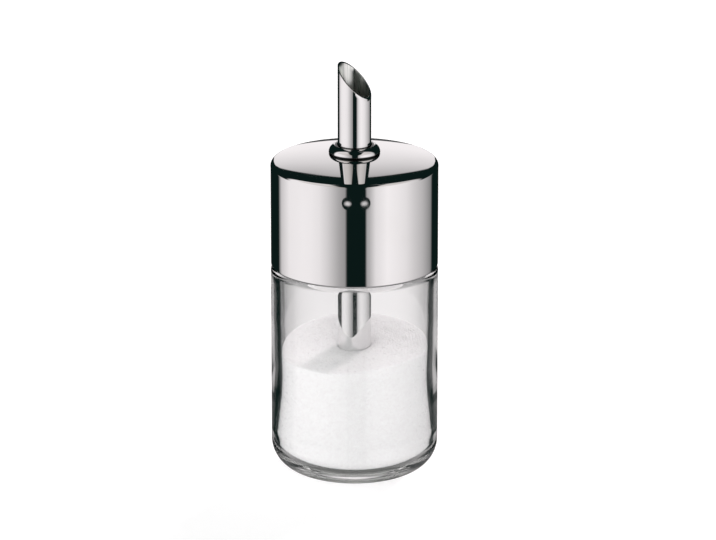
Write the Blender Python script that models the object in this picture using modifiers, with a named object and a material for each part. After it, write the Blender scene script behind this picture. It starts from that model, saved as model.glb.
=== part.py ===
"""Sugar dispenser: a straight glass jar under a polished steel screw cap with a pouring tube.

Lengths are in metres and +Z is up. The origin is on the table, at the middle of the jar's foot.
The jar stands still. The cap with its liner, tube, collar and lock ring turns about Z and climbs
with the screw thread, and the rim seal climbs with it.
"""
import math

import bmesh
import bpy
from mathutils import Matrix

# Clearances between neighbouring pieces
SEAT_GAP = 0.0003
CUT_OVERRUN = 0.0020

# Jar body
JAR_RADIUS = 0.0300
SHOULDER_HEIGHT = 0.0740
SHOULDER_RISE = 0.0023
BASE_ROUNDING = 0.0105
FOOT_INNER_RADIUS = 0.0125
PUNT_DEPTH = 0.0008
FLOOR_THICKNESS = 0.0050
FLOOR_ROUNDING = 0.0060
WAIST_WALL = 0.0037

# The inside of the wall, from the floor up: share of the shoulder height, share of the waist wall
INNER_WALL_SHARES = (
    (0.19, 0.74),
    (0.235, 0.81),
    (0.29, 0.89),
    (0.34, 0.95),
    (0.40, 0.99),
    (0.48, 0.99),
    (0.58, 0.95),
    (0.68, 0.92),
    (0.80, 0.90),
    (1.03, 0.93),
)

# Neck, with the wider step below it that the cap's foot slides over, and screw thread
STEP_HEIGHT = 0.0068
NECK_WALL = 0.0018
NECK_HEIGHT = 0.0210
BORE_BLEND_HEIGHT = 0.0060
RIM_ROUNDING = 0.0007
THREAD_PITCH = 0.0040
THREAD_TURNS = 1.5
THREAD_RIDGE_RADIUS = 0.0006
THREAD_START_BELOW_RIM = 0.0035
THREAD_END_SHARE = 0.30
THREAD_FADE_STEPS = 4

# Sugar
SUGAR_HEIGHT = 0.0410
SUGAR_CORE_DROP = 0.0020

# Seal on the rim
SEAL_THICKNESS = 0.0012
SEAL_OVERLAP = 0.0005

# Steel cap
CAP_SHELL_THICKNESS = 0.0006
CAP_LIFT_OFF_SHOULDER = 0.0002
CAP_WALL_HEIGHT = 0.0365
CAP_EDGE_ROUNDING = 0.0018
CAP_FOOT_ROUNDING = 0.0009
CAP_FOOT_TURN = math.radians(60.0)
DOME_RADIUS = 0.1250

# Plastic liner
LINER_WALL = 0.0010
THREAD_CLEARANCE = 0.0003
LINER_ABOVE_STEP = 0.0005
LINER_CEILING = 0.0020
BOSS_WALL = 0.0024

# Pouring tube
TUBE_RADIUS = 0.0060
TUBE_WALL = 0.0006
MOUTH_ABOVE_DOME = 0.0264
MOUTH_TURN = math.radians(-28.0)
MOUTH_SLANT = math.radians(45.0)
TUBE_DEPTH_IN_SUGAR = 0.0200

# Collar at the tube's foot
COLLAR_RADIUS = 0.0092
COLLAR_HEIGHT = 0.0021
LIP_WIDTH = 0.0007
LIP_HEIGHT = 0.0009

# Lock ring under the ceiling
LOCK_RING_WIDTH = 0.0032
LOCK_RING_HEIGHT = 0.0022

# Counts of flat faces
WIDE_SEGMENTS = 48
NARROW_SEGMENTS = 32
DOME_STEPS = 6
ROUND_STEPS = 3
BASE_STEPS = 6
CURVE_STEPS = 2
COLLAR_FOOT_STEPS = 2
RIDGE_RESOLUTION = 2
SMOOTH_ANGLE = math.radians(35.0)
MERGE_DISTANCE = 0.00001

# Radii worked out from the sizes above, from the cap's side inwards
SHELL_BORE_RADIUS = JAR_RADIUS - CAP_SHELL_THICKNESS
LINER_RADIUS = SHELL_BORE_RADIUS - SEAT_GAP
LINER_BORE_RADIUS = LINER_RADIUS - LINER_WALL
NECK_RADIUS = LINER_BORE_RADIUS - THREAD_CLEARANCE - THREAD_RIDGE_RADIUS
NECK_BORE_RADIUS = NECK_RADIUS - NECK_WALL
FOOT_REACH = (CAP_FOOT_ROUNDING - CAP_SHELL_THICKNESS) * (1.0 - math.cos(CAP_FOOT_TURN))
STEP_RADIUS = SHELL_BORE_RADIUS - FOOT_REACH - SEAT_GAP
TUBE_HOLE_RADIUS = TUBE_RADIUS + SEAT_GAP
TUBE_BORE_RADIUS = TUBE_RADIUS - TUBE_WALL

# Heights worked out from the sizes above
RIM_Z = SHOULDER_HEIGHT + NECK_HEIGHT
STEP_TOP_Z = SHOULDER_HEIGHT + STEP_HEIGHT
SUGAR_TOP_Z = FLOOR_THICKNESS + SUGAR_HEIGHT
SEAL_BOTTOM_Z = RIM_Z + SEAT_GAP
CEILING_Z = SEAL_BOTTOM_Z + SEAL_THICKNESS + SEAT_GAP
CEILING_TOP_Z = CEILING_Z + LINER_CEILING
CAP_FOOT_Z = SHOULDER_HEIGHT + SHOULDER_RISE + CAP_LIFT_OFF_SHOULDER
CAP_WALL_TOP_Z = CAP_FOOT_Z + CAP_WALL_HEIGHT

# The dome and the rounded edge of the cap touch along a circle
DOME_CENTRE_Z = CAP_WALL_TOP_Z - math.sqrt(
    (DOME_RADIUS - CAP_EDGE_ROUNDING) ** 2 - (JAR_RADIUS - CAP_EDGE_ROUNDING) ** 2
)
DOME_TOP_Z = DOME_CENTRE_Z + DOME_RADIUS
MOUTH_Z = DOME_TOP_Z + MOUTH_ABOVE_DOME
TUBE_BOTTOM_Z = SUGAR_TOP_Z - TUBE_DEPTH_IN_SUGAR


def clear_objects():
    """Remove the objects that the file opens with."""
    for obj in list(bpy.data.objects):
        bpy.data.objects.remove(obj)


def make_collection(name):
    """Add a collection to the scene."""
    collection = bpy.data.collections.new(name)
    bpy.context.scene.collection.children.link(collection)
    return collection


def make_material(name, colour, roughness, metallic, transmission=0.0, ior=1.5):
    """Make a Principled material from a colour and its gloss."""
    material = bpy.data.materials.new(name)
    material.use_nodes = True
    shader = material.node_tree.nodes["Principled BSDF"]
    shader.inputs["Base Color"].default_value = (*colour, 1.0)
    shader.inputs["Roughness"].default_value = roughness
    shader.inputs["Metallic"].default_value = metallic
    shader.inputs["Transmission Weight"].default_value = transmission
    shader.inputs["IOR"].default_value = ior
    material.diffuse_color = (*colour, 1.0)
    return material


def arc(centre_r, centre_z, radius, start, end, steps):
    """Points along a circle in the profile plane, angles measured from straight out."""
    points = []
    for step in range(steps + 1):
        angle = start + (end - start) * step / steps
        points.append((centre_r + radius * math.cos(angle), centre_z + radius * math.sin(angle)))
    return points


def smooth_curve(points, steps):
    """A Catmull-Rom curve through the points, with the given number of steps between two of them."""
    ends = [points[0]] + list(points) + [points[-1]]
    curve = []
    for index in range(len(points) - 1):
        before, start, end, after = ends[index:index + 4]
        for step in range(steps):
            t = step / steps
            curve.append(tuple(
                0.5 * (
                    2.0 * start[i]
                    + (end[i] - before[i]) * t
                    + (2.0 * before[i] - 5.0 * start[i] + 4.0 * end[i] - after[i]) * t ** 2
                    + (3.0 * start[i] - before[i] - 3.0 * end[i] + after[i]) * t ** 3
                )
                for i in range(2)
            ))
    curve.append(points[-1])
    return curve


def dome_z(radius, drop=0.0):
    """Height of the cap's dome at a distance from the axis, or of a sphere inside it by the drop."""
    return DOME_CENTRE_Z + math.sqrt((DOME_RADIUS - drop) ** 2 - radius ** 2)


def dome_arc(inner_radius, outer_radius, drop, steps):
    """Points on the dome from an inner to an outer distance from the axis."""
    points = []
    for step in range(steps + 1):
        radius = inner_radius + (outer_radius - inner_radius) * step / steps
        points.append((radius, dome_z(radius, drop)))
    return points


def turned(name, profile, segments, material, collection, closed=False):
    """Turn a profile of (radius, height) points about Z with a Screw modifier."""
    mesh = bpy.data.meshes.new(name)
    outline = bmesh.new()
    verts = [outline.verts.new((radius, 0.0, height)) for radius, height in profile]
    for first, second in zip(verts, verts[1:]):
        outline.edges.new((first, second))
    if closed:
        outline.edges.new((verts[-1], verts[0]))
    outline.to_mesh(mesh)
    outline.free()
    mesh.materials.append(material)
    obj = bpy.data.objects.new(name, mesh)
    collection.objects.link(obj)
    screw = obj.modifiers.new("turn", "SCREW")
    screw.axis = "Z"
    screw.angle = math.tau
    screw.steps = segments
    screw.render_steps = segments
    screw.use_merge_vertices = True
    screw.merge_threshold = MERGE_DISTANCE
    return obj


def evaluated_mesh(obj):
    """The object's mesh with its modifiers and bevels worked in."""
    graph = bpy.context.evaluated_depsgraph_get()
    return bpy.data.meshes.new_from_object(obj.evaluated_get(graph))


def thread_ridge(name, radius, start_z, material, collection):
    """A rounded right-hand screw ridge that fades at both ends, as a closed mesh.

    Its points lie half a face away from the corners of the turned piece that carries it.
    """
    steps = round(WIDE_SEGMENTS * THREAD_TURNS)
    curve = bpy.data.curves.new(name, "CURVE")
    curve.dimensions = "3D"
    curve.bevel_depth = THREAD_RIDGE_RADIUS
    curve.bevel_resolution = RIDGE_RESOLUTION
    curve.use_fill_caps = True
    curve.twist_mode = "Z_UP"
    spline = curve.splines.new("POLY")
    spline.points.add(steps)
    for step, point in enumerate(spline.points):
        turn = (step + 0.5) / WIDE_SEGMENTS
        angle = math.tau * turn
        from_end = min(step, steps - step)
        fade = min(1.0, from_end / THREAD_FADE_STEPS)
        point.co = (radius * math.cos(angle), radius * math.sin(angle), start_z + THREAD_PITCH * turn, 1.0)
        point.radius = THREAD_END_SHARE + (1.0 - THREAD_END_SHARE) * fade
    bent = bpy.data.objects.new(name + "_curve", curve)
    collection.objects.link(bent)
    mesh = evaluated_mesh(bent)
    welded = bmesh.new()
    welded.from_mesh(mesh)
    bmesh.ops.remove_doubles(welded, verts=welded.verts, dist=MERGE_DISTANCE)
    bmesh.ops.recalc_face_normals(welded, faces=welded.faces)
    welded.to_mesh(mesh)
    welded.free()
    mesh.materials.clear()
    mesh.materials.append(material)
    ridge = bpy.data.objects.new(name, mesh)
    ridge.matrix_world = bent.matrix_world
    collection.objects.link(ridge)
    bpy.data.objects.remove(bent)
    return as_tool(ridge)


def as_tool(obj):
    """Mark an object as a cutter or guide that isn't a piece of the dispenser."""
    obj.hide_render = True
    obj.display_type = "WIRE"
    return obj


def combine(obj, tool, operation):
    """Join a tool to an object or cut it out."""
    modifier = obj.modifiers.new(tool.name, "BOOLEAN")
    modifier.operation = operation
    modifier.solver = "EXACT"
    modifier.object = tool


def cavity_outline():
    """The inside of the jar, from the middle of the floor up to the neck's bore."""
    wall = [
        (JAR_RADIUS - WAIST_WALL * wall_share, SHOULDER_HEIGHT * height_share)
        for height_share, wall_share in INNER_WALL_SHARES
    ]
    corner_r = JAR_RADIUS - WAIST_WALL * INNER_WALL_SHARES[0][1]
    floor = [(0.0, FLOOR_THICKNESS)] + arc(
        corner_r - FLOOR_ROUNDING,
        FLOOR_THICKNESS + FLOOR_ROUNDING,
        FLOOR_ROUNDING,
        -0.5 * math.pi,
        0.0,
        ROUND_STEPS,
    )
    neck_start = (NECK_BORE_RADIUS, wall[-1][1] + BORE_BLEND_HEIGHT)
    return floor[:-1] + smooth_curve([floor[-1]] + wall + [neck_start], CURVE_STEPS)


def make_jar(glass, collection, tools):
    """The glass jar: one turned wall with a thick base, a rounded shoulder, a step and a threaded neck."""
    inside = cavity_outline()
    rim_round_z = RIM_Z - RIM_ROUNDING
    inner_round_r = NECK_BORE_RADIUS + RIM_ROUNDING
    outer_round_r = NECK_RADIUS - RIM_ROUNDING
    rim = arc(inner_round_r, rim_round_z, RIM_ROUNDING, math.pi, 0.5 * math.pi, ROUND_STEPS)
    rim += arc(outer_round_r, rim_round_z, RIM_ROUNDING, 0.5 * math.pi, 0.0, ROUND_STEPS)
    step_depth = JAR_RADIUS - STEP_RADIUS
    round_radius = 0.5 * (step_depth ** 2 + SHOULDER_RISE ** 2) / step_depth
    round_turn = math.asin(SHOULDER_RISE / round_radius)
    shoulder = [(NECK_RADIUS, STEP_TOP_Z), (STEP_RADIUS, STEP_TOP_Z)] + arc(
        JAR_RADIUS - round_radius, SHOULDER_HEIGHT, round_radius, round_turn, 0.0, ROUND_STEPS
    )
    base = arc(JAR_RADIUS - BASE_ROUNDING, BASE_ROUNDING, BASE_ROUNDING, 0.0, -0.5 * math.pi, BASE_STEPS)
    foot = [(FOOT_INNER_RADIUS, 0.0), (FOOT_INNER_RADIUS - PUNT_DEPTH, PUNT_DEPTH), (0.0, PUNT_DEPTH)]
    jar = turned("glass_jar", inside + rim + shoulder + base + foot, WIDE_SEGMENTS, glass, collection)
    highest = RIM_Z - THREAD_START_BELOW_RIM
    ridge = thread_ridge(
        "neck_thread", NECK_RADIUS, highest - THREAD_PITCH * THREAD_TURNS, glass, tools
    )
    combine(jar, ridge, "UNION")
    return jar


def make_sugar(sugar, collection):
    """The sugar: it fills the jar to its level, with a groove where the tube stands in it."""
    core_r = TUBE_BORE_RADIUS - SEAT_GAP
    core_top = SUGAR_TOP_Z - SUGAR_CORE_DROP
    groove_bottom = TUBE_BOTTOM_Z - SEAT_GAP
    top = [
        (0.0, core_top),
        (core_r, core_top),
        (core_r, groove_bottom),
        (TUBE_HOLE_RADIUS, groove_bottom),
        (TUBE_HOLE_RADIUS, SUGAR_TOP_Z),
    ]
    inside = [(max(radius - SEAT_GAP, 0.0), height + SEAT_GAP) for radius, height in cavity_outline()]
    below = [point for point in inside if point[1] < SUGAR_TOP_Z]
    last, beyond = below[-1], inside[len(below)]
    part = (SUGAR_TOP_Z - last[1]) / (beyond[1] - last[1])
    edge = (last[0] + (beyond[0] - last[0]) * part, SUGAR_TOP_Z)
    return turned("sugar_fill", top + [edge] + below[::-1], WIDE_SEGMENTS, sugar, collection)


def make_seal(rubber, collection):
    """The flat ring that the cap presses on the jar's rim."""
    inner = NECK_BORE_RADIUS - SEAL_OVERLAP
    top = SEAL_BOTTOM_Z + SEAL_THICKNESS
    ring = [(inner, top), (NECK_RADIUS, top), (NECK_RADIUS, SEAL_BOTTOM_Z), (inner, SEAL_BOTTOM_Z)]
    return turned("rim_seal", ring, WIDE_SEGMENTS, rubber, collection, closed=True)


def make_cap_shell(steel, collection):
    """The deep-drawn steel cap, whose foot turns in: a surface that is thickened on its inside."""
    edge_r = JAR_RADIUS - CAP_EDGE_ROUNDING
    lean = math.asin(edge_r / (DOME_RADIUS - CAP_EDGE_ROUNDING))
    touch_r = DOME_RADIUS * math.sin(lean)
    outside = dome_arc(TUBE_HOLE_RADIUS, touch_r, 0.0, DOME_STEPS)[:-1]
    outside += arc(edge_r, CAP_WALL_TOP_Z, CAP_EDGE_ROUNDING, 0.5 * math.pi - lean, 0.0, ROUND_STEPS)
    outside += arc(
        JAR_RADIUS - CAP_FOOT_ROUNDING,
        CAP_FOOT_Z + CAP_FOOT_ROUNDING * math.sin(CAP_FOOT_TURN),
        CAP_FOOT_ROUNDING,
        0.0,
        -CAP_FOOT_TURN,
        ROUND_STEPS,
    )
    shell = turned("cap_shell", outside, WIDE_SEGMENTS, steel, collection)
    sheet = shell.modifiers.new("sheet", "SOLIDIFY")
    sheet.thickness = CAP_SHELL_THICKNESS
    sheet.offset = -1.0
    sheet.use_even_offset = True
    return shell


def make_liner(plastic, collection, tools):
    """The plastic liner: a threaded skirt, a ceiling over the jar and a boss up to the dome."""
    foot_z = STEP_TOP_Z + LINER_ABOVE_STEP
    boss_r = TUBE_HOLE_RADIUS + BOSS_WALL
    under_dome = CAP_SHELL_THICKNESS + SEAT_GAP
    section = [
        (TUBE_HOLE_RADIUS, dome_z(TUBE_HOLE_RADIUS, under_dome)),
        (boss_r, dome_z(boss_r, under_dome)),
        (boss_r, CEILING_TOP_Z),
        (LINER_RADIUS, CEILING_TOP_Z),
        (LINER_RADIUS, foot_z),
        (LINER_BORE_RADIUS, foot_z),
        (LINER_BORE_RADIUS, CEILING_Z),
        (TUBE_HOLE_RADIUS, CEILING_Z),
    ]
    liner = turned("cap_liner", section, WIDE_SEGMENTS, plastic, collection, closed=True)
    highest = RIM_Z - THREAD_START_BELOW_RIM - 0.5 * THREAD_PITCH
    ridge = thread_ridge(
        "liner_thread", LINER_BORE_RADIUS, highest - THREAD_PITCH * THREAD_TURNS, plastic, tools
    )
    combine(liner, ridge, "UNION")
    return liner


def make_tube(steel, collection, tools):
    """The pouring tube: a thin round wall whose upper end is cut off on a slant."""
    tip_z = MOUTH_Z + TUBE_RADIUS * math.tan(MOUTH_SLANT) + CUT_OVERRUN
    wall = [
        (TUBE_BORE_RADIUS, tip_z),
        (TUBE_RADIUS, tip_z),
        (TUBE_RADIUS, TUBE_BOTTOM_Z),
        (TUBE_BORE_RADIUS, TUBE_BOTTOM_Z),
    ]
    tube = turned("pour_tube", wall, NARROW_SEGMENTS, steel, collection, closed=True)
    side = 2.0 * (tip_z - MOUTH_Z + TUBE_RADIUS)
    mesh = bpy.data.meshes.new("mouth_cut")
    block = bmesh.new()
    bmesh.ops.create_cube(block, size=side)
    block.to_mesh(mesh)
    block.free()
    cutter = as_tool(bpy.data.objects.new("mouth_cut", mesh))
    cutter.matrix_world = (
        Matrix.Translation((0.0, 0.0, MOUTH_Z))
        @ Matrix.Rotation(MOUTH_TURN, 4, "Z")
        @ Matrix.Rotation(MOUTH_SLANT, 4, "Y")
        @ Matrix.Translation((0.0, 0.0, 0.5 * side))
    )
    tools.objects.link(cutter)
    combine(tube, cutter, "DIFFERENCE")
    return tube


def make_collar(steel, collection):
    """The collar: a rounded ring on the dome with a small lip round the tube."""
    lip_r = TUBE_HOLE_RADIUS + LIP_WIDTH
    foot = dome_z(COLLAR_RADIUS) + SEAT_GAP
    crown_z = foot + COLLAR_HEIGHT
    lip_top = crown_z + LIP_HEIGHT
    width = COLLAR_RADIUS - lip_r
    crown = []
    for step in range(DOME_STEPS + 1):
        angle = 0.5 * math.pi * (1.0 - step / DOME_STEPS)
        crown.append((lip_r + width * math.cos(angle), foot + COLLAR_HEIGHT * math.sin(angle)))
    under = dome_arc(COLLAR_RADIUS, TUBE_HOLE_RADIUS, -SEAT_GAP, COLLAR_FOOT_STEPS)
    lip = [(TUBE_HOLE_RADIUS, lip_top), (lip_r, lip_top)]
    return turned("tube_collar", lip + crown + under[1:], NARROW_SEGMENTS, steel, collection, closed=True)


def make_lock_ring(steel, collection):
    """The ring pressed on the tube under the ceiling."""
    top = CEILING_Z - SEAT_GAP
    outer = TUBE_HOLE_RADIUS + LOCK_RING_WIDTH
    bottom = top - LOCK_RING_HEIGHT
    ring = [(TUBE_HOLE_RADIUS, top), (outer, top), (outer, bottom), (TUBE_HOLE_RADIUS, bottom)]
    return turned("tube_lock_ring", ring, NARROW_SEGMENTS, steel, collection, closed=True)


def bake(obj):
    """Replace an object's profile and modifiers by the finished mesh, shaded smooth but for its edges."""
    mesh = evaluated_mesh(obj)
    obj.modifiers.clear()
    obj.data = mesh
    mesh.name = obj.name
    mesh.shade_smooth()
    mesh.set_sharp_from_angle(angle=SMOOTH_ANGLE)


def main():
    clear_objects()
    pieces = make_collection("sugar_dispenser")
    tools = make_collection("cutters")
    glass = make_material("jar_glass", (0.90, 0.95, 0.93), 0.02, 0.0, transmission=1.0)
    sugar = make_material("white_sugar", (0.93, 0.93, 0.92), 0.75, 0.0)
    steel = make_material("polished_steel", (0.78, 0.78, 0.79), 0.06, 1.0)
    plastic = make_material("liner_plastic", (0.82, 0.82, 0.80), 0.45, 0.0)
    rubber = make_material("clear_silicone", (0.80, 0.80, 0.78), 0.50, 0.0)

    fixed = [make_jar(glass, pieces, tools), make_sugar(sugar, pieces)]
    lifting = [make_seal(rubber, pieces)]
    turning = [
        make_cap_shell(steel, pieces),
        make_liner(plastic, pieces, tools),
        make_tube(steel, pieces, tools),
        make_collar(steel, pieces),
        make_lock_ring(steel, pieces),
    ]
    for obj in fixed + lifting + turning:
        bake(obj)

    lift_axis = bpy.data.objects.new("cap_lift", None)
    turn_axis = bpy.data.objects.new("cap_turn", None)
    pieces.objects.link(lift_axis)
    pieces.objects.link(turn_axis)
    turn_axis.parent = lift_axis
    for obj in lifting:
        obj.parent = lift_axis
    for obj in turning:
        obj.parent = turn_axis


main()
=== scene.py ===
# %% [markdown]
# # A sugar dispenser with a steel cap and a pouring tube
#
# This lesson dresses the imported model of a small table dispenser: a thick glass jar, a mirror-polished
# screw cap, a tube with a slanted mouth, and white sugar. The model gives the real sizes and the bodies
# that move. Here each piece gets its fine surface and its finish, and a plain studio lights the whole.

# %% Load the frame
import math

import bmesh
import bpy
import numpy as np
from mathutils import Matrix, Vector


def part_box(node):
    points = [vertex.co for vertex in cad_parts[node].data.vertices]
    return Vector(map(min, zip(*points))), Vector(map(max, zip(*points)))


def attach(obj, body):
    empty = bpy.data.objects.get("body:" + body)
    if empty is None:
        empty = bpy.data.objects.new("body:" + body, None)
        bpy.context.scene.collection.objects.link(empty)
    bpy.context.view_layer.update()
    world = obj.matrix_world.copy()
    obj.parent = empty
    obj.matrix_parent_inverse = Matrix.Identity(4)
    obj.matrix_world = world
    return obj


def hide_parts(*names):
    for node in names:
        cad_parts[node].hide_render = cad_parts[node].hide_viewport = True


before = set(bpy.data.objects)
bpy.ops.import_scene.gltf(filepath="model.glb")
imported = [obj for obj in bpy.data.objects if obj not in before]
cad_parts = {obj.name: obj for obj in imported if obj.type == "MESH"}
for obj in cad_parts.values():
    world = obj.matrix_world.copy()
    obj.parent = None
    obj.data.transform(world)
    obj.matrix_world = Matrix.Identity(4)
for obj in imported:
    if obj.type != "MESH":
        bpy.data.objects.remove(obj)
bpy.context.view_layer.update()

# %% [markdown]
# ## Sizes
#
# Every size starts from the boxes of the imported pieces, in metres. A turned piece's box gives its radius
# and its two heights. Only what a box can't say, such as a wall or a rounding, is written as a size of
# its own, beside the piece that has it.

# %% Read the boxes
MM = 0.001


def radius_of(node):
    """Half the width of a turned piece."""
    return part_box(node)[1].x


def heights_of(node):
    """The lowest and highest point of a piece."""
    low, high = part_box(node)
    return low.z, high.z


JAR_RADIUS = radius_of("glass_jar")
RIM_Z = heights_of("glass_jar")[1]
SUGAR_BOTTOM_Z, SUGAR_TOP_Z = heights_of("sugar_fill")
CAP_RADIUS = radius_of("cap_shell")
CAP_FOOT_Z, CAP_HOLE_Z = heights_of("cap_shell")
TUBE_RADIUS = radius_of("pour_tube")
TUBE_BOTTOM_Z, TUBE_TIP_Z = heights_of("pour_tube")
COLLAR_RADIUS = radius_of("tube_collar")
COLLAR_FOOT_Z, COLLAR_TOP_Z = heights_of("tube_collar")
LINER_RADIUS = radius_of("cap_liner")
LINER_FOOT_Z, LINER_TOP_Z = heights_of("cap_liner")
SEAL_RADIUS = radius_of("rim_seal")
SEAL_BOTTOM_Z, SEAL_TOP_Z = heights_of("rim_seal")
LOCK_RADIUS = radius_of("tube_lock_ring")
LOCK_BOTTOM_Z, LOCK_TOP_Z = heights_of("tube_lock_ring")
SEAT_GAP = 0.3 * MM
HOLE_RADIUS = TUBE_RADIUS + SEAT_GAP
print(f"jar {JAR_RADIUS / MM:.1f} mm in radius, tube tip at {TUBE_TIP_Z / MM:.1f} mm")

# %% [markdown]
# ## Camera
#
# The photograph looks down at the dispenser at a shallow angle from far off with a long lens, so the
# jar's sides stay parallel. The lens follows from the picture's width and the focal length in pixels.

# %% Place the camera
PHOTO_WIDTH_PX = 716
FOCAL_PX = 5018
SENSOR_MM = 36
CAMERA_DISTANCE = 1.8
CAMERA_TILT = math.radians(18.1)
AIM = Vector((1.255 * MM, 0, 73.74 * MM))
CLIP_NEAR = 0.1
CLIP_FAR = 50

camera_data = bpy.data.cameras.new("camera")
camera_data.sensor_width = SENSOR_MM
camera_data.lens = FOCAL_PX / PHOTO_WIDTH_PX * SENSOR_MM
camera_data.clip_start = CLIP_NEAR
camera_data.clip_end = CLIP_FAR
camera = bpy.data.objects.new("camera", camera_data)
bpy.context.scene.collection.objects.link(camera)
towards_camera = Vector((0, -math.cos(CAMERA_TILT), math.sin(CAMERA_TILT)))
camera.location = AIM + towards_camera * CAMERA_DISTANCE
camera.rotation_mode = "QUATERNION"
camera.rotation_quaternion = (-towards_camera).to_track_quat("-Z", "Y")
bpy.context.scene.camera = camera
bpy.context.scene.view_settings.view_transform = "Standard"
print(f"lens {camera_data.lens:.1f} mm")

# %% [markdown]
# Light bounces many times inside a thick glass base before it leaves. Each mirror-like bounce off the
# inside of the glass counts as a glossy one, and a path that runs out of bounces turns black, so the
# scene allows more of them than usual.

# %% Let light travel far enough inside the glass
GLASS_BOUNCES = 24
bpy.context.scene.cycles.max_bounces = GLASS_BOUNCES
bpy.context.scene.cycles.glossy_bounces = GLASS_BOUNCES
bpy.context.scene.cycles.transmission_bounces = GLASS_BOUNCES

# %% [markdown]
# ## Surfaces from numpy
#
# Every piece is a grid of points: rows run along a profile and columns round the axis. Whole arrays hold
# the grid, so no vertex is placed one at a time. A profile is put together from a few kinds of line:
# arcs, corners with a rounding, and a smooth curve through chosen points. A line is then cut into short
# stretches, so that the quads stay small.

# %% Helpers for profiles
ROUND = 2 * math.pi
QUARTER = 0.5 * math.pi
HALF_STRAIGHT = 0.499 * math.pi


def arc(centre, radius, start, end, steps):
    """Circle arc in the (radius, height) plane: centre + radius * (cos a, sin a), a from start to
    end."""
    a = np.linspace(start, end, steps + 1)
    return np.stack([centre[0] + radius * np.cos(a), centre[1] + radius * np.sin(a)], axis=1)


def rounded(corners, steps=8):
    """Line whose corners (r, z, rounding) become arcs that touch both sides. The ends stay sharp, and so
    does a corner without a rounding or one that is as good as straight."""
    corners = [np.array(c, float) for c in corners]
    parts = [corners[0][None, :2]]
    for before, corner, after in zip(corners, corners[1:], corners[2:]):
        to_before, to_after = before[:2] - corner[:2], after[:2] - corner[:2]
        to_before, to_after = (v / np.linalg.norm(v) for v in (to_before, to_after))
        half = 0.5 * math.acos(float(np.clip(to_before @ to_after, -1, 1)))
        if corner[2] == 0 or half > HALF_STRAIGHT:
            parts.append(corner[None, :2])
            continue
        reach = corner[2] / math.tan(half)
        middle = (to_before + to_after) / np.linalg.norm(to_before + to_after)
        centre = corner[:2] + middle * corner[2] / math.sin(half)
        first, last = corner[:2] + to_before * reach - centre, corner[:2] + to_after * reach - centre
        start = math.atan2(first[1], first[0])
        sweep = (math.atan2(last[1], last[0]) - start + math.pi) % ROUND - math.pi
        parts.append(arc(centre, corner[2], start, start + sweep, steps))
    parts.append(corners[-1][None, :2])
    return np.concatenate(parts)


def through(points, steps):
    """Smooth curve through the points: each stretch is the cubic whose slope at a point is half the way
    from the point before to the point after."""
    p = np.array(points, float)
    before, after = np.concatenate([p[:1], p[:-2]]), np.concatenate([p[2:], p[-1:]])
    before, start, end, after = (q[:, None, :] for q in (before, p[:-1], p[1:], after))
    t = (np.arange(steps) / steps)[None, :, None]
    curve = 0.5 * (
        2 * start
        + (end - before) * t
        + (2 * before - 5 * start + 4 * end - after) * t ** 2
        + (3 * start - before - 3 * end + after) * t ** 3
    )
    return np.concatenate([curve.reshape(-1, 2), p[-1:]])


def finer(profile, longest):
    """The same line with points added, so that no stretch is longer than asked."""
    lengths = np.linalg.norm(np.diff(profile, axis=0), axis=1)
    counts = np.maximum(1, np.ceil(lengths / longest).astype(int))
    stretch = np.repeat(np.arange(len(counts)), counts)
    share = np.arange(len(stretch)) - np.repeat(np.cumsum(counts) - counts, counts)
    share = (share / counts[stretch])[:, None]
    points = profile[stretch] * (1 - share) + profile[stretch + 1] * share
    return np.concatenate([points, profile[-1:]])


# %% Helpers for meshes
MERGE = 0.001 * MM
FINE_COLUMNS = 192
SHARP_DEGREES = 40


def grid_piece(name, points, closed_rows):
    """A mesh from an array of points, rows by columns by 3: quads join each row to the next, and the last
    column to the first. A row that shrinks to a point on the axis becomes one vertex."""
    rows, columns = points.shape[:2]
    index = np.arange(rows * columns).reshape(rows, columns)
    above = np.roll(index, -1, axis=0)
    if not closed_rows:
        index, above = index[:-1], above[:-1]
    quads = np.stack([index, np.roll(index, -1, axis=1), np.roll(above, -1, axis=1), above], axis=-1)
    mesh = bpy.data.meshes.new(name)
    mesh.vertices.add(rows * columns)
    mesh.vertices.foreach_set("co", points.astype(np.float32).ravel())
    mesh.loops.add(quads.size)
    mesh.loops.foreach_set("vertex_index", quads.astype(np.int32).ravel())
    mesh.polygons.add(quads.size // 4)
    mesh.polygons.foreach_set("loop_start", np.arange(0, quads.size, 4, dtype=np.int32))
    mesh.update(calc_edges=True)
    tidy = bmesh.new()
    tidy.from_mesh(mesh)
    bmesh.ops.remove_doubles(tidy, verts=tidy.verts, dist=MERGE)
    bmesh.ops.recalc_face_normals(tidy, faces=tidy.faces)
    tidy.to_mesh(mesh)
    tidy.free()
    mesh.shade_smooth()
    piece = bpy.data.objects.new(name, mesh)
    bpy.context.scene.collection.objects.link(piece)
    print(f"{name}: {len(mesh.polygons)} faces")
    return piece


def angles(columns):
    """Even angles round the axis, as one row."""
    return np.linspace(0, ROUND, columns, endpoint=False)[None, :]


def around(r, z, a):
    """Points at radius r, height z and angle a: (r cos a, r sin a, z), for arrays that fit each other."""
    r, z, a = np.broadcast_arrays(r, z, a)
    return np.stack([r * np.cos(a), r * np.sin(a), z], axis=-1)


def turned(profile, columns):
    """Points of a turned surface: each profile point (r, z) carried round the axis."""
    return around(profile[:, :1], profile[:, 1:], angles(columns))


def dress(piece, body, node, sharp=None):
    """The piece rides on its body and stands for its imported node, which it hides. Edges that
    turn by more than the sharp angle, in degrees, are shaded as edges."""
    if sharp is not None:
        piece.data.set_sharp_from_angle(angle=math.radians(sharp))
    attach(piece, body)
    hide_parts(node)


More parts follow.
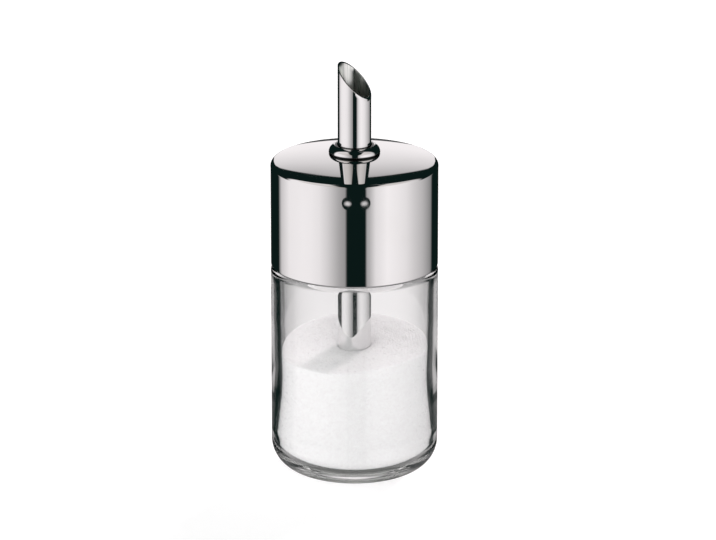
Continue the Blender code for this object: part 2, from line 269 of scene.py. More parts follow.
# %% [markdown]
# ## The glass jar
#
# The jar is pressed and blown glass: straight outside, with a wall that is thick at the waist and thinner
# near the foot, and a heavy base with a rounded edge. What the eye sees through glass depends on how the
# thickness changes, so the inside is a smooth curve of its own, through points given as shares of the
# shoulder's height and of the wall at the waist. The outside has a shoulder that rounds into a low step,
# which the cap's foot slides over, and the neck with its screw ridge above that.

# %% The inside of the jar
SHOULDER_Z = 74.0 * MM
FLOOR_Z = SUGAR_BOTTOM_Z - SEAT_GAP
FLOOR_ROUNDING = 6.0 * MM
WAIST_WALL = 3.7 * MM
WALL_SHARES = (
    (0.19, 0.74), (0.235, 0.81), (0.29, 0.89), (0.34, 0.95), (0.40, 0.99),
    (0.48, 0.99), (0.58, 0.95), (0.68, 0.92), (0.80, 0.90), (1.03, 0.93),
)
NECK_RADIUS = SEAL_RADIUS
NECK_WALL = 1.8 * MM
NECK_BORE = NECK_RADIUS - NECK_WALL
BORE_BLEND = 6.0 * MM
CURVE_STEPS = 8
FLOOR_STEPS = 24
JAR_STRETCH = 1.0 * MM


def inner_wall():
    """The inside from the middle of the floor up to the bore: flat, arc, then the smooth curve."""
    wall = [(JAR_RADIUS - WAIST_WALL * s, SHOULDER_Z * h) for h, s in WALL_SHARES]
    corner = (wall[0][0] - FLOOR_ROUNDING, FLOOR_Z + FLOOR_ROUNDING)
    floor = arc(corner, FLOOR_ROUNDING, -QUARTER, 0, FLOOR_STEPS)
    top = (NECK_BORE, wall[-1][1] + BORE_BLEND)
    curve = through([tuple(floor[-1])] + wall + [top], CURVE_STEPS)
    return finer(np.concatenate([[(0, FLOOR_Z)], floor[:-1], curve]), JAR_STRETCH)


jar_inside = inner_wall()
print(f"wall at the waist {WAIST_WALL / MM:.1f} mm, bore {NECK_BORE / MM:.1f} mm in radius")

# %% The outside of the jar
SHOULDER_RISE = 2.3 * MM
STEP_RADIUS = LINER_RADIUS - 0.15 * MM
STEP_TOP_Z = SHOULDER_Z + 6.8 * MM
NECK_LOW_Z = STEP_TOP_Z + 1.0 * MM
NECK_HIGH_Z = RIM_Z - 1.5 * MM
BASE_ROUNDING = 10.5 * MM
FOOT_INNER_RADIUS = 12.5 * MM
PUNT_DEPTH = 0.8 * MM
RIM_ROUNDING = 0.7 * MM
NECK_ROWS = 28
SHOULDER_STEPS = 16

step_depth = JAR_RADIUS - STEP_RADIUS
round_radius = 0.5 * (step_depth ** 2 + SHOULDER_RISE ** 2) / step_depth
round_turn = math.asin(SHOULDER_RISE / round_radius)
shoulder = arc((JAR_RADIUS - round_radius, SHOULDER_Z), round_radius, round_turn, 0, SHOULDER_STEPS)
jar_outside = finer(rounded([
    (NECK_BORE, jar_inside[-1][1] + MERGE, 0),
    (NECK_BORE, RIM_Z, RIM_ROUNDING),
    (NECK_RADIUS, RIM_Z, RIM_ROUNDING),
    *[(NECK_RADIUS, z, 0) for z in np.linspace(NECK_HIGH_Z, NECK_LOW_Z, NECK_ROWS)],
    (NECK_RADIUS, STEP_TOP_Z, 0.3 * MM),
    (STEP_RADIUS, STEP_TOP_Z, 0.6 * MM),
    *[(*point, 0) for point in shoulder],
    (JAR_RADIUS, 0, BASE_ROUNDING),
    (FOOT_INNER_RADIUS, 0, 0.4 * MM),
    (FOOT_INNER_RADIUS - 2 * PUNT_DEPTH, PUNT_DEPTH, 1.5 * MM),
    (0, PUNT_DEPTH, 0),
], steps=12), JAR_STRETCH)
print(f"step {step_depth / MM:.2f} mm deep, shoulder rounding {round_radius / MM:.1f} mm")

# %% [markdown]
# The screw ridge is a rounded bump that climbs one pitch per turn. It needs no piece of its own: where a
# point of the neck lies close to the climbing line, it moves outwards. The liner's skirt gets the same
# ridge inwards, half a pitch lower, so that the two pass between each other.

# %% A screw ridge
THREAD_PITCH = 4.0 * MM
THREAD_TURNS = 1.5
THREAD_HEIGHT = 0.5 * MM
THREAD_HALF_WIDTH = 0.6 * MM
THREAD_BELOW_RIM = 3.5 * MM
THREAD_FADES = 12
ON_WALL = 0.01 * MM
THREAD_START_Z = RIM_Z - THREAD_BELOW_RIM - THREAD_PITCH * THREAD_TURNS


def ridge(angle, height, start_z):
    """Share of the ridge's height at each point: exp(-(distance / half width) ** 4) from the climbing
    line, faded over a twelfth of a turn at both ends."""
    total = np.zeros(np.broadcast(angle, height).shape)
    for lap in range(math.ceil(THREAD_TURNS)):
        along = angle / ROUND + lap
        fade = np.clip(np.minimum(along, THREAD_TURNS - along) * THREAD_FADES, 0, 1)
        middle = start_z + THREAD_PITCH * along
        total += fade * np.exp(-((height - middle) / THREAD_HALF_WIDTH) ** 4)
    return np.clip(total, 0, 1)


def with_ridge(points, radius, height, start_z):
    """The points with a ridge on the stretch that lies at the radius: outwards, or inwards where the
    height is negative."""
    r = np.hypot(points[..., 0], points[..., 1])
    on_wall = np.abs(r - radius) < ON_WALL
    share = on_wall * ridge(angles(points.shape[1]), points[..., 2], start_z)
    points[..., :2] *= ((r + height * share) / np.maximum(r, MERGE))[..., None]
    return points


# %% Make the jar
JAR_COLUMNS = 240
jar_points = turned(np.concatenate([jar_inside, jar_outside]), JAR_COLUMNS)
jar_points = with_ridge(jar_points, NECK_RADIUS, THREAD_HEIGHT, THREAD_START_Z)
jar = grid_piece("jar_of_glass", jar_points, closed_rows=False)
dress(jar, "jar", "glass_jar")

# %% [markdown]
# ## The sugar
#
# Sugar is poured in and shaken, so its top is a soft, tilted surface and not a level one: high at the
# back and to the right, raised where it leans on the glass at both sides, and low at the front. A
# shallow gully opens like a fan from the tube to the front. A plane and a saddle give the tilt, smooth
# steps in the angle round the tube give the gully, and sums of short waves give the grains. The side
# follows the glass a hair's breadth away, because sugar doesn't wet glass. The buried end of the tube
# stands in a groove, and inside the groove the sugar goes on as a plug that fills the tube.

# %% Height of the sugar
RAISED = 0.3 * MM
TILT_RIGHT = 1.3 * MM
TILT_BACK = 2.2 * MM
SADDLE = 0.9 * MM
SADDLE_STRAIGHT = 0.87
SIDE_RISE = 1.5 * MM
HOLLOW = 0.5 * MM
HOLLOW_WIDTH = 3.0 * MM
GULLY = 0.8 * MM
GULLY_LEFT = (-40, -16)
GULLY_RIGHT = (38, -10)
GULLY_OPENS = (4 * MM, 16 * MM)
CALM_WIDTH = 3 * MM
CALM_SHARE = 0.25
SOFT_WAVES = 0.05 * MM
GRAINS = 0.045 * MM


def waves(x, y, seed, count, shortest, longest):
    """Smooth noise: a sum of plane waves in many directions, scaled to about -1 to 1."""
    pick = np.random.default_rng(seed)
    length = np.exp(pick.uniform(math.log(shortest), math.log(longest), count))
    heading = pick.uniform(0, ROUND, count)
    phase = pick.uniform(0, ROUND, count)
    total = 0 * x
    for each in range(count):
        across = x * math.cos(heading[each]) + y * math.sin(heading[each])
        total = total + np.cos(ROUND * across / length[each] + phase[each])
    return total / math.sqrt(count / 2)


def smooth_step(value, start, end):
    """0 before the start and 1 after the end, with 3 t ** 2 - 2 t ** 3 between them."""
    t = np.clip((value - start) / (end - start), 0, 1)
    return t * t * (3 - 2 * t)


def sugar_height(x, y, edge_r):
    """Height of the top: a tilted plane, a saddle and raised sides, minus a hollow and a gully, plus soft
    waves, which calm down near the glass, and grains. The gully's angle is 0 towards the viewer and
    negative to the left."""
    u, v = x / edge_r, y / edge_r
    level = SUGAR_TOP_Z + RAISED + TILT_RIGHT * u + TILT_BACK * v
    saddle = SADDLE * (SADDLE_STRAIGHT * (v ** 2 - u ** 2) - u * v) + SIDE_RISE * u ** 4
    r = np.hypot(x, y)
    hollow = -HOLLOW * np.exp(-((r - TUBE_RADIUS) / HOLLOW_WIDTH) ** 2)
    turn = np.degrees(np.arctan2(x, -y))
    gully = smooth_step(turn, *GULLY_LEFT) * smooth_step(turn, *GULLY_RIGHT)
    gully = -GULLY * gully * smooth_step(r, *GULLY_OPENS)
    calm = np.clip((edge_r - r) / CALM_WIDTH, CALM_SHARE, 1)
    soft = SOFT_WAVES * waves(x, y, seed=3, count=24, shortest=4 * MM, longest=14 * MM) * calm
    grains = GRAINS * waves(x, y, seed=4, count=70, shortest=0.6 * MM, longest=1.4 * MM)
    return level + saddle + hollow + gully + soft + grains


# %% Make the sugar
SUGAR_COLUMNS = 400
TOP_ROWS = 110
SIDE_ROWS = 50
WALL_GAP = 0.12 * MM
CORNER_MARGIN = 0.1 * MM
PLUG_RADIUS = TUBE_RADIUS - 0.9 * MM
GROOVE_RADIUS = TUBE_RADIUS + 0.06 * MM
PLUG_TOP_Z = SUGAR_TOP_Z - 2 * MM
GROOVE_Z = TUBE_BOTTOM_Z - SEAT_GAP

corner_z = FLOOR_Z + FLOOR_ROUNDING
beside_glass = jar_inside + np.array([-WALL_GAP, 0])
beside_glass[:, 1] += WALL_GAP * (jar_inside[:, 1] < corner_z)
beside_glass[:, 0] = np.maximum(beside_glass[:, 0], 0)
edge_r = np.interp(SUGAR_TOP_Z, beside_glass[:, 1], beside_glass[:, 0])
a = angles(SUGAR_COLUMNS)
plug = turned(np.array([
    (0, PLUG_TOP_Z),
    (PLUG_RADIUS, PLUG_TOP_Z),
    (PLUG_RADIUS, GROOVE_Z),
    (GROOVE_RADIUS, GROOVE_Z),
]), SUGAR_COLUMNS)
top_r = GROOVE_RADIUS + (edge_r - GROOVE_RADIUS) * np.linspace(0, 1, TOP_ROWS)[:, None]
top = around(top_r, sugar_height(top_r * np.cos(a), top_r * np.sin(a), edge_r), a)
side_z = corner_z + (top[-1:, :, 2] - corner_z) * np.linspace(1, 0, SIDE_ROWS)[1:, None]
side = around(np.interp(side_z, beside_glass[:, 1], beside_glass[:, 0]), side_z, a)
bottom = turned(beside_glass[beside_glass[:, 1] < corner_z - CORNER_MARGIN][::-1], SUGAR_COLUMNS)
sugar = grid_piece("sugar_heap", np.concatenate([plug, top, side, bottom]), closed_rows=False)
dress(sugar, "jar", "sugar_fill")

# %% [markdown]
# ## The steel cap
#
# The cap is one sheet of steel, deep drawn and polished: a shallow dome, a small rounded edge, a
# straight wall and a foot that turns in over the step of the jar. A mirror shows every facet, so the
# outline is made of true arcs, which touch without a corner where dome, edge and wall meet.

# %% Make the cap
SHEET = 0.6 * MM
EDGE_ROUNDING = 1.8 * MM
DOME_RADIUS = 125 * MM
FOOT_ROUNDING = 0.9 * MM
FOOT_TURN = math.radians(60)
FOOT_STEPS = 16
EDGE_STEPS = 32
DOME_STEPS = 40
CAP_STRETCH = 1.5 * MM
CAP_COLUMNS = 360

dome_centre_z = CAP_HOLE_Z - math.sqrt(DOME_RADIUS ** 2 - HOLE_RADIUS ** 2)
edge_centre_r = CAP_RADIUS - EDGE_ROUNDING
edge_centre_z = dome_centre_z + math.sqrt((DOME_RADIUS - EDGE_ROUNDING) ** 2 - edge_centre_r ** 2)
edge_turn = QUARTER - math.asin(edge_centre_r / (DOME_RADIUS - EDGE_ROUNDING))
foot_centre = (CAP_RADIUS - FOOT_ROUNDING, CAP_FOOT_Z + FOOT_ROUNDING * math.sin(FOOT_TURN))


def cap_skin(inset):
    """The sheet's outline moved inwards by an inset: foot, wall, rounded edge, and dome up to the
    hole."""
    foot = arc(foot_centre, FOOT_ROUNDING - inset, -FOOT_TURN, 0, FOOT_STEPS)
    edge = arc((edge_centre_r, edge_centre_z), EDGE_ROUNDING - inset, 0, edge_turn, EDGE_STEPS)
    hole_turn = math.acos(HOLE_RADIUS / (DOME_RADIUS - inset))
    dome = arc((0, dome_centre_z), DOME_RADIUS - inset, edge_turn, hole_turn, DOME_STEPS)
    return np.concatenate([foot, edge, dome[1:]])


cap_profile = np.concatenate([cap_skin(0), cap_skin(SHEET)[::-1]])
cap_points = turned(finer(cap_profile, CAP_STRETCH), CAP_COLUMNS)
cap = grid_piece("steel_cap", cap_points, closed_rows=True)
dress(cap, "cap", "cap_shell", SHARP_DEGREES)

# %% [markdown]
# ## The pouring tube
#
# The tube is drawn steel pipe, cut off at 45 degrees, with the open side turned a little towards the
# viewer. The height of the cut is a plane over each point, so the grid's upper rows end on that plane,
# and the cut edge between the outer and the inner wall is slightly rounded where it was deburred.

# %% Make the tube
TUBE_WALL = 0.6 * MM
TUBE_BORE = TUBE_RADIUS - TUBE_WALL
MOUTH_TURN = math.radians(-28)
MOUTH_Z = TUBE_TIP_Z - TUBE_RADIUS - 0.01 * MM
CUT_CROWN = 0.12 * MM
CUT_STEPS = 8
TUBE_ROWS = 90


def mouth_height(radius, angle):
    """Height of the slanted cut: it falls by the distance across towards the open side."""
    return MOUTH_Z - radius * np.cos(angle - MOUTH_TURN)


def tube_wall(radius, a):
    """Heights of one wall of the tube: even steps from the lower end up to the cut."""
    up = np.linspace(0, 1, TUBE_ROWS)[:, None]
    return TUBE_BOTTOM_Z + (mouth_height(radius, a) - TUBE_BOTTOM_Z) * up


a = angles(FINE_COLUMNS)
share = np.linspace(0, 1, CUT_STEPS + 1)[1:-1, None]
cut_r = TUBE_RADIUS - TUBE_WALL * share
cut_z = mouth_height(cut_r, a) + CUT_CROWN * np.sqrt(1 - (2 * share - 1) ** 2)
tube_points = np.concatenate([
    around(TUBE_RADIUS, tube_wall(TUBE_RADIUS, a), a),
    around(cut_r, cut_z, a),
    around(TUBE_BORE, tube_wall(TUBE_BORE, a)[::-1], a),
])
tube = grid_piece("pouring_tube", tube_points, closed_rows=True)
dress(tube, "cap", "pour_tube", SHARP_DEGREES)

# %% [markdown]
# ## The collar
#
# The collar is a small turned ring that hides the hole in the dome. In the photograph it bulges over
# the dome like a bead, steep at its rim and flatter towards the tube. A quarter ellipse gives the bead,
# and a small rounding tucks it under where it stands on the dome.

# %% Make the collar
TUCK_ROUNDING = 0.45 * MM
TUCK_STEPS = 16
DOME_AT_RIM_Z = COLLAR_FOOT_Z - 0.28 * MM
BEAD_TOP_Z = COLLAR_TOP_Z - 0.15 * MM
BEAD_POINTS = 64
HOLE_FOOT_Z = COLLAR_FOOT_Z + 0.1 * MM
COLLAR_STRETCH = 0.6 * MM

tuck_centre = (COLLAR_RADIUS - TUCK_ROUNDING, DOME_AT_RIM_Z + TUCK_ROUNDING)
tuck = arc(tuck_centre, TUCK_ROUNDING, -QUARTER, 0, TUCK_STEPS)
bead_width = COLLAR_RADIUS - HOLE_RADIUS
bead_height = BEAD_TOP_Z - DOME_AT_RIM_Z - TUCK_ROUNDING
t = np.linspace(0, QUARTER, BEAD_POINTS)
bead = np.stack([HOLE_RADIUS + bead_width * np.cos(t), tuck_centre[1] + bead_height * np.sin(t)], axis=1)
collar_profile = np.concatenate([tuck[:-1], bead, [(HOLE_RADIUS, HOLE_FOOT_Z)]])
collar_points = turned(finer(collar_profile, COLLAR_STRETCH), FINE_COLUMNS)
collar = grid_piece("tube_foot_collar", collar_points, closed_rows=True)
dress(collar, "cap", "tube_collar", SHARP_DEGREES)
print(f"bead {bead_width / MM:.1f} mm wide and {bead_height / MM:.1f} mm high")

# %% [markdown]
# ## Inside the cap
#
# The plastic liner seals the jar and carries the tube. It is moulded, so all its corners are rounded.
# The soft ring lies on the jar's rim, and a steel ring under the ceiling is pressed on the tube and
# clamps the whole stack.

# %% Make the liner
BOSS_RADIUS = HOLE_RADIUS + 2.4 * MM
BOSS_EDGE_Z = LINER_TOP_Z - 0.3 * MM
BOSS_ROUNDING = 0.8 * MM
LINER_BORE = LINER_RADIUS - 1.0 * MM
CEILING_Z = SEAL_TOP_Z + SEAT_GAP
CEILING_TOP_Z = CEILING_Z + 2.0 * MM
LINER_ROUNDING = 0.3 * MM
LINER_STRETCH = 0.5 * MM

liner_profile = rounded([
    (BOSS_RADIUS, CEILING_Z, 0),
    (HOLE_RADIUS, CEILING_Z, LINER_ROUNDING),
    (HOLE_RADIUS, LINER_TOP_Z, LINER_ROUNDING),
    (BOSS_RADIUS, BOSS_EDGE_Z, LINER_ROUNDING),
    (BOSS_RADIUS, CEILING_TOP_Z, BOSS_ROUNDING),
    (LINER_RADIUS, CEILING_TOP_Z, 2 * LINER_ROUNDING),
    (LINER_RADIUS, LINER_FOOT_Z, LINER_ROUNDING),
    (LINER_BORE, LINER_FOOT_Z, LINER_ROUNDING),
    (LINER_BORE, CEILING_Z, LINER_ROUNDING),
    (BOSS_RADIUS, CEILING_Z, 0),
])[:-1]
liner_points = turned(finer(liner_profile, LINER_STRETCH), FINE_COLUMNS)
liner_points = with_ridge(liner_points, LINER_BORE, -THREAD_HEIGHT, THREAD_START_Z - 0.5 * THREAD_PITCH)
liner = grid_piece("threaded_liner", liner_points, closed_rows=True)
dress(liner, "cap", "cap_liner", SHARP_DEGREES)


# %% Make the seal and the lock ring
RING_STRETCH = 0.8 * MM
SEAL_BORE = NECK_BORE - 0.5 * MM
SEAL_ROUNDING = 0.3 * MM
LOCK_ROUNDING = 0.25 * MM


def flat_ring(name, inner, outer, low, high, rounding):
    """A turned ring with four rounded corners; its outline starts in the middle of its top."""
    middle = 0.5 * (inner + outer)
    profile = rounded([
        (middle, high, 0),
        (outer, high, rounding),
        (outer, low, rounding),
        (inner, low, rounding),
        (inner, high, rounding),
        (middle, high, 0),
    ])[:-1]
    return grid_piece(name, turned(finer(profile, RING_STRETCH), FINE_COLUMNS), closed_rows=True)


seal = flat_ring("soft_seal", SEAL_BORE, SEAL_RADIUS, SEAL_BOTTOM_Z, SEAL_TOP_Z, SEAL_ROUNDING)
dress(seal, "lift", "rim_seal", SHARP_DEGREES)
lock_ring = flat_ring(
    "pressed_lock_ring", HOLE_RADIUS, LOCK_RADIUS, LOCK_BOTTOM_Z, LOCK_TOP_Z, LOCK_ROUNDING)
dress(lock_ring, "cap", "tube_lock_ring", SHARP_DEGREES)

# %% [markdown]
# ## Writing shaders as sums
#
# A node tree reads best as a formula. The class below wraps a socket, so that `1 - mask * 0.5` adds the
# Math nodes by itself, and one method makes any other node from its type, settings and sockets.


# %% Shader helper
class Wire:
    """A socket in a node tree. Sums, differences, products and quotients of wires add Math nodes."""

    def __init__(self, tree, socket=None):
        self.tree, self.socket = tree, socket

    def node(self, kind, settings=None, values=None, output=0):
        """Any node: its settings are set first, then its sockets get values or links."""
        made = self.tree.nodes.new(kind)
        for key, value in (settings or {}).items():
            if key == "stops":
                ramp = made.color_ramp
                while len(ramp.elements) < len(value):
                    ramp.elements.new(0.5)
                for element, (position, colour) in zip(ramp.elements, value):
                    element.position = position
                    element.color = colour
            else:
                setattr(made, key, value)
        for key, value in (values or {}).items():
            if isinstance(value, Wire):
                self.tree.links.new(value.socket, made.inputs[key])
            else:
                made.inputs[key].default_value = value
        return Wire(self.tree, made.outputs[output])

    def out(self, name):
        """Another output of the node that this wire comes from."""
        return Wire(self.tree, self.socket.node.outputs[name])

    def math(self, operation, *others):
        """A Math node with this wire first."""
        return self.node("ShaderNodeMath", {"operation": operation}, dict(enumerate((self, *others))))

    def __add__(self, other):
        return self.math("ADD", other)

    __radd__ = __add__

    def __mul__(self, other):
        return self.math("MULTIPLY", other)

    __rmul__ = __mul__

    def __sub__(self, other):
        return self.math("SUBTRACT", other)

    def __rsub__(self, other):
        return self.node("ShaderNodeMath", {"operation": "SUBTRACT"}, {0: other, 1: self})

    def __truediv__(self, other):
        return self.math("DIVIDE", other)

    def __neg__(self):
        return self * -1

    def __gt__(self, other):
        return self.math("GREATER_THAN", other)

    def __lt__(self, other):
        return self.math("LESS_THAN", other)

    def fade(self, start, end, low=0.0, high=1.0):
        """A smooth step: low where this wire is at the start, high at the end."""
        return self.node(
            "ShaderNodeMapRange", {"interpolation_type": "SMOOTHSTEP"},
            {"Value": self, "From Min": start, "From Max": end, "To Min": low, "To Max": high})

    def mix(self, first, second):
        """A colour between two others, this wire being the share of the second."""
        return self.node(
            "ShaderNodeMix", {"data_type": "RGBA"}, {"Factor": self, 6: first, 7: second}, output=2)


def new_material(name):
    """A material with an empty tree, and a wire to start from."""
    material = bpy.data.materials.new(name)
    material.use_nodes = True
    material.node_tree.nodes.clear()
    return material, Wire(material.node_tree)


def finish_material(shader):
    """Send a shader to the tree's output."""
    out = shader.tree.nodes.new("ShaderNodeOutputMaterial")
    shader.tree.links.new(shader.socket, out.inputs["Surface"])


def own_place(start):
    """The piece's own coordinates: the wire is x, and its outputs Y and Z are the other two."""
    place = start.node("ShaderNodeTexCoord", output="Object")
    return place.node("ShaderNodeSeparateXYZ", None, {"Vector": place})


def noise(start, scale, detail=2.0, stretch=(1, 1, 1)):
    """Noise between 0 and 1 over the piece's own place: its scale is in waves per metre, and a small
    stretch makes them long along that axis."""
    place = start.node("ShaderNodeTexCoord", output="Object")
    place = place.node("ShaderNodeMapping", None, {"Vector": place, "Scale": stretch})
    return place.node("ShaderNodeTexNoise", None, {"Vector": place, "Scale": scale, "Detail": detail})


def bumps(height, strength, distance):
    """A normal that follows a height between 0 and 1, which stands for this distance."""
    return height.node(
        "ShaderNodeBump", None, {"Height": height, "Strength": strength, "Distance": distance},
        output="Normal")


def principled(start, values):
    """A principled surface with these sockets."""
    return start.node("ShaderNodeBsdfPrincipled", None, values)


# %% [markdown]
# ## Polished steel
#
# A mirror finish has little to show but its surroundings. What sets real steel apart from a perfect
# mirror is a trace of haze: finger marks that blur the reflection in soft patches, and hair-fine lines
# left by the polishing wheel. Both change the roughness only a little.

# %% Mirror steel
STEEL_TINT = (0.84, 0.84, 0.84, 1)
SMUDGE_TINT = (0.82, 0.82, 0.815, 1)
POLISHED, SMUDGED, SCRATCHED = 0.02, 0.03, 0.02
SMUDGES_PER_METRE, SMUDGE_EDGE = 45.0, (0.45, 0.75)
HAIRLINES_PER_METRE, HAIRLINE_EDGE = 900.0, (0.55, 0.8)
steel, start = new_material("mirror_steel")
smudge = noise(start, SMUDGES_PER_METRE, detail=4.0).fade(*SMUDGE_EDGE)
hairline = noise(start, HAIRLINES_PER_METRE, detail=1.0, stretch=(1, 1, 0.04)).fade(*HAIRLINE_EDGE)
rough = POLISHED + smudge * SMUDGED + hairline * SCRATCHED
tint = smudge.mix(STEEL_TINT, SMUDGE_TINT)
finish_material(principled(start, {"Base Color": tint, "Metallic": 1.0, "Roughness": rough}))
for piece in (cap, tube, lock_ring):
    piece.data.materials.append(steel)

# %% [markdown]
# The wheel can't reach the two seams of the collar, where it stands on the dome and where the tube comes
# through, and they stay dull. Their near-black colour is painted shade, standing for the shadow and the
# dark reflections in these creases. Their edges fade and wander a little.

# %% Steel with dull seams and painted seam shade
SEAM_HEIGHT = 0.55 * MM
SEAM_WIDTH = 0.6 * MM
SEAM_FADE = 1.6
SEAM_WANDER = 0.1
SEAM_WAVES_PER_METRE = 300.0
# Painted shade: the seams' near-black colour stands for their shadow and dark reflections.
SEAM_PAINTED_SHADE = (0.03, 0.035, 0.033, 1)
SEAM_ROUGH = 0.3
seam_shaded_steel, start = new_material("steel_with_painted_seam_shade")
place = own_place(start)
uneven = noise(start, SEAM_WAVES_PER_METRE) * SEAM_WANDER * MM
from_axis = (place * place + place.out("Y") * place.out("Y")).math("SQRT") + uneven
above_dome = place.out("Z") + uneven - DOME_AT_RIM_Z
# 1 away from the seams: polished there, and out of the painted shade.
polished_and_lit = above_dome.fade(SEAM_HEIGHT, SEAM_FADE * SEAM_HEIGHT)
polished_and_lit = polished_and_lit * from_axis.fade(HOLE_RADIUS + SEAM_WIDTH, HOLE_RADIUS + SEAM_FADE * SEAM_WIDTH)
rough = SEAM_ROUGH - polished_and_lit * (SEAM_ROUGH - POLISHED)
# The seams' colour is painted shade; their higher roughness is a real dull finish.
tint = polished_and_lit.mix(SEAM_PAINTED_SHADE, STEEL_TINT)
finish_material(principled(start, {"Base Color": tint, "Metallic": 1.0, "Roughness": rough}))
collar.data.materials.append(seam_shaded_steel)

# %% [markdown]
# The bore of the tube was never polished, so it is satin, with streaks along the pull of the drawing
# die. It is a second material of the tube, given to the faces that lie on the bore.

# %% Satin steel in the bore
BORE_DARK = (0.58, 0.63, 0.60, 1)
BORE_LIGHT = (0.97, 0.975, 0.945, 1)
BORE_ROUGH, STREAK_ROUGH = 0.22, 0.12
STREAKS_PER_METRE, STREAK_EDGE = 1400.0, (0.35, 0.7)
BORE_MARGIN = 0.05 * MM
bore_steel, start = new_material("satin_bore_steel")
streak = noise(start, STREAKS_PER_METRE, stretch=(1, 1, 0.03))
tint = streak.fade(*STREAK_EDGE).mix(BORE_DARK, BORE_LIGHT)
rough = BORE_ROUGH + streak * STREAK_ROUGH
finish_material(principled(start, {"Base Color": tint, "Metallic": 1.0, "Roughness": rough}))
tube.data.materials.append(bore_steel)
centres = np.zeros(len(tube.data.polygons) * 3)
tube.data.polygons.foreach_get("center", centres)
in_bore = np.hypot(*centres.reshape(-1, 3)[:, :2].T) < TUBE_BORE + BORE_MARGIN
tube.data.polygons.foreach_set("material_index", in_bore.astype(np.int32))
print("faces of the bore:", int(in_bore.sum()))

# %% [markdown]
# ## Glass
#
# The glass is clear with a breath of green. In the heavy base the light goes a long way through it, so
# the tint there is deeper. Pressed glass is never quite even, so a slow, very weak bump makes
# reflections in it swim a little. Light that goes through the jar to the sugar would arrive as
# caustics, which take very long to settle. So for shadow rays and for light bounced off matt things the
# glass is plainly clear, and the sugar is lit as evenly as in a soft tent.

# %% Jar glass
BASE_TINT_LOW_Z = 2.6 * MM
BASE_TINT_HIGH_Z = 4.6 * MM
BASE_TINT = (0.32, 0.35, 0.32, 1)
GLASS_TINT = (0.985, 0.993, 0.991, 1)
CLEAR_TINT = (0.997, 0.999, 0.999, 1)
GLASS_IOR = 1.5
RIPPLES_PER_METRE = 40.0
glass, start = new_material("thick_glass")
in_base = own_place(start).out("Z").fade(BASE_TINT_LOW_Z, BASE_TINT_HIGH_Z, 1.0, 0.0)
ripple = bumps(noise(start, RIPPLES_PER_METRE, detail=1.0), strength=0.02, distance=1.0 * MM)
solid = principled(start, {
    "Base Color": in_base.mix(GLASS_TINT, BASE_TINT), "Roughness": 0.0, "IOR": GLASS_IOR,
    "Transmission Weight": 1.0, "Normal": ripple,
})
clear = start.node("ShaderNodeBsdfTransparent", None, {"Color": CLEAR_TINT})
ray = start.node("ShaderNodeLightPath", output="Is Shadow Ray")
lamp_ray = ray.math("MAXIMUM", ray.out("Is Diffuse Ray"))
finish_material(start.node("ShaderNodeMixShader", None, {0: lamp_ray, 1: solid, 2: clear}))
jar.data.materials.append(glass)

# %% [markdown]
# ## Sugar
#
# Fine sugar is a heap of clear crystals, each about half a millimetre long. Together they scatter
# nearly all light and let some of it seep through, so the material has subsurface scattering. Cells of a
# Voronoi pattern stand for the crystals: each has a slope of its own through the bump and a slightly
# different white, and a few are smooth enough to glint.

# %% White grains
CRYSTALS_PER_METRE = 1700.0
CLUMPS_PER_METRE = 420.0
CRYSTAL_SHARE, CLUMP_SHARE, SHADE_SHARE = 0.65, 0.55, 0.1
SUGAR_SHADE = (0.92, 0.88, 0.893, 1)
SUGAR_WHITE = (1.0, 0.978, 0.984, 1)
SUGAR_IOR = 1.45
DULL, GLINTING = 0.65, 0.45
GLINT_EDGE = (0.90, 0.96)
grains, start = new_material("white_grains")
place = start.node("ShaderNodeTexCoord", output="Object")
cell = place.node(
    "ShaderNodeTexVoronoi", None, {"Vector": place, "Scale": CRYSTALS_PER_METRE}, output="Distance")
each = cell.out("Color").node("ShaderNodeSeparateColor", None, {"Color": cell.out("Color")})
clump = noise(start, CLUMPS_PER_METRE, detail=3.0)
white = each * CRYSTAL_SHARE + clump * CLUMP_SHARE - SHADE_SHARE
glint = each.out("Green").fade(*GLINT_EDGE)
finish_material(principled(start, {
    "Base Color": white.mix(SUGAR_SHADE, SUGAR_WHITE),
    "Roughness": DULL - glint * GLINTING, "IOR": SUGAR_IOR,
    "Normal": bumps(cell, strength=0.3, distance=0.3 * MM),
    "Subsurface Weight": 0.6, "Subsurface Radius": (1.0, 1.0, 1.0), "Subsurface Scale": 2.0 * MM,
}))
sugar.data.materials.append(grains)


# %% [markdown]
# ## Plastic and rubber
#
# The liner and the seal are hidden by the cap, and the glass shows at most a little of them from below.
# Moulded plastic has a faint unevenness in its satin, and silicone is a little milky and duller.

# %% Liner and seal
CLOUDS_PER_METRE = 120.0
MOULD_GRAINS_PER_METRE = 2500.0
CLOUD_ROUGH = 0.1
LINER_LIGHT, LINER_DARK, LINER_ROUGH = (0.90, 0.90, 0.89, 1), (0.86, 0.86, 0.85, 1), 0.35
SEAL_LIGHT, SEAL_DARK, SEAL_ROUGH = (0.82, 0.82, 0.80, 1), (0.78, 0.78, 0.76, 1), 0.45


def moulded(name, light, dark, roughness):
    """A satin moulding whose colour and gloss wander slightly."""
    material, start = new_material(name)
    cloud = noise(start, CLOUDS_PER_METRE, detail=3.0)
    grain = bumps(noise(start, MOULD_GRAINS_PER_METRE), strength=0.1, distance=0.05 * MM)
    finish_material(principled(start, {
        "Base Color": cloud.mix(dark, light),
        "Roughness": roughness + cloud * CLOUD_ROUGH,
        "Normal": grain,
    }))
    return material


liner.data.materials.append(moulded("liner_satin", LINER_LIGHT, LINER_DARK, LINER_ROUGH))
seal.data.materials.append(moulded("seal_silicone", SEAL_LIGHT, SEAL_DARK, SEAL_ROUGH))

